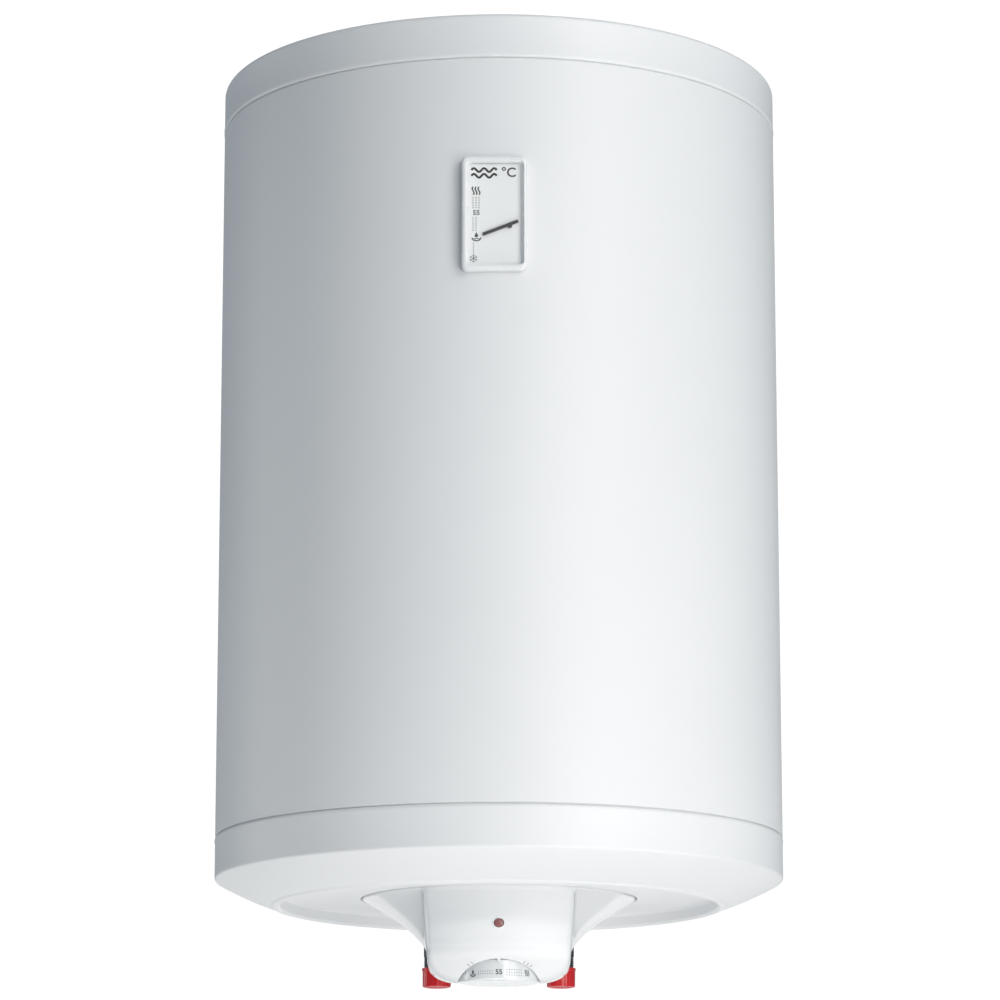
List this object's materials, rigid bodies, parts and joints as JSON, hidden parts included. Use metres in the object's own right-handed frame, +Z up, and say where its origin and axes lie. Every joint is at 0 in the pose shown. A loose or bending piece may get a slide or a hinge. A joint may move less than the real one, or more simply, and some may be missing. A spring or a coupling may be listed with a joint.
{
  "type": "tank water heater",
  "caption": "Wall-hung electric storage water heater: upright insulated cylinder with a front thermometer window, and a thermostat knob and water connections underneath.",
  "frame": {"origin": "centre of the wall bracket's back face, where it meets the wall", "axes": "+Z up, +Y into the wall, the heater's front and its thermometer window face -Y"},
  "size_m": [0.454, 0.4676, 0.7448],
  "materials": {
    "painted_shell": "gloss",
    "white_plastic": "gloss",
    "clear_plastic": "gloss",
    "dark_plastic": "matte",
    "red_plastic": "satin",
    "lamp_plastic": "gloss",
    "zinc_steel": "satin",
    "dark_steel": "satin",
    "enamelled_steel": "gloss",
    "foam": "matte",
    "rubber": "matte",
    "copper": "satin",
    "brass": "satin",
    "magnesium": "matte",
    "brown_wire": "satin",
    "blue_wire": "satin",
    "earth_wire": "satin"
  },
  "bodies": {
    "heater": {"outer_shell": "painted_shell", "top_cap": "white_plastic", "bottom_cap": "white_plastic", "control_cover": "white_plastic", "indicator_frame": "white_plastic", "indicator_dial": "white_plastic", "inlet_diffuser": "white_plastic", "indicator_lens": "clear_plastic", "lamp_holder": "dark_plastic", "outlet_tube": "dark_plastic", "thermostat_body": "dark_plastic", "safety_cutout": "dark_plastic", "terminal_block": "dark_plastic", "cable_gland": "dark_plastic", "gland_nut": "dark_plastic", "cold_cap": "red_plastic", "hot_cap": "red_plastic", "lamp_lens": "lamp_plastic", "cover_screw_1": "zinc_steel", "cover_screw_2": "zinc_steel", "wall_bracket": "zinc_steel", "bracket_leg_left": "zinc_steel", "bracket_leg_right": "zinc_steel", "flange_plate": "zinc_steel", "flange_bolt_1": "zinc_steel", "flange_bolt_2": "zinc_steel", "flange_bolt_3": "zinc_steel", "flange_bolt_4": "zinc_steel", "flange_bolt_5": "zinc_steel", "anode_nut": "zinc_steel", "control_bracket": "zinc_steel", "cold_inlet_pipe": "dark_steel", "hot_outlet_pipe": "dark_steel", "tank_flange": "dark_steel", "inner_tank": "enamelled_steel", "insulation_foam": "foam", "flange_gasket": "rubber", "heating_element": "copper", "thermostat_pocket": "copper", "thermostat_sensor": "copper", "cutout_sensor": "copper", "thermometer_sensor": "copper", "thermometer_body": "brass", "earth_screw": "brass", "anode_rod": "magnesium", "wire_live": "brown_wire", "wire_neutral": "blue_wire", "wire_earth": "earth_wire"},
    "knob": {"knob": "clear_plastic", "knob_scale_ring": "white_plastic", "knob_shaft": "zinc_steel"},
    "pointer": {"pointer": "dark_plastic", "pointer_spindle": "zinc_steel"},
    "reset_button": {"reset_button": "red_plastic"}
  },
  "joints": [
    {"name": "knob_turn", "type": "hinge", "parent": "heater", "child": "knob", "pos_m": [0, -0.302, -0.605], "axis": [0, 0, -1], "range_deg": [-95, 43]},
    {"name": "pointer_swing", "type": "hinge", "parent": "heater", "child": "pointer", "pos_m": [0.0086, -0.4645, -0.0468], "axis": [0, 1, 0], "range_deg": [-30, 70]},
    {"name": "reset_press", "type": "slide", "parent": "heater", "child": "reset_button", "axis": [0, 0, 1], "range_m": [0, 0.002], "stiffness_N_per_m": 300, "springref_m": -0.001}
  ]
}
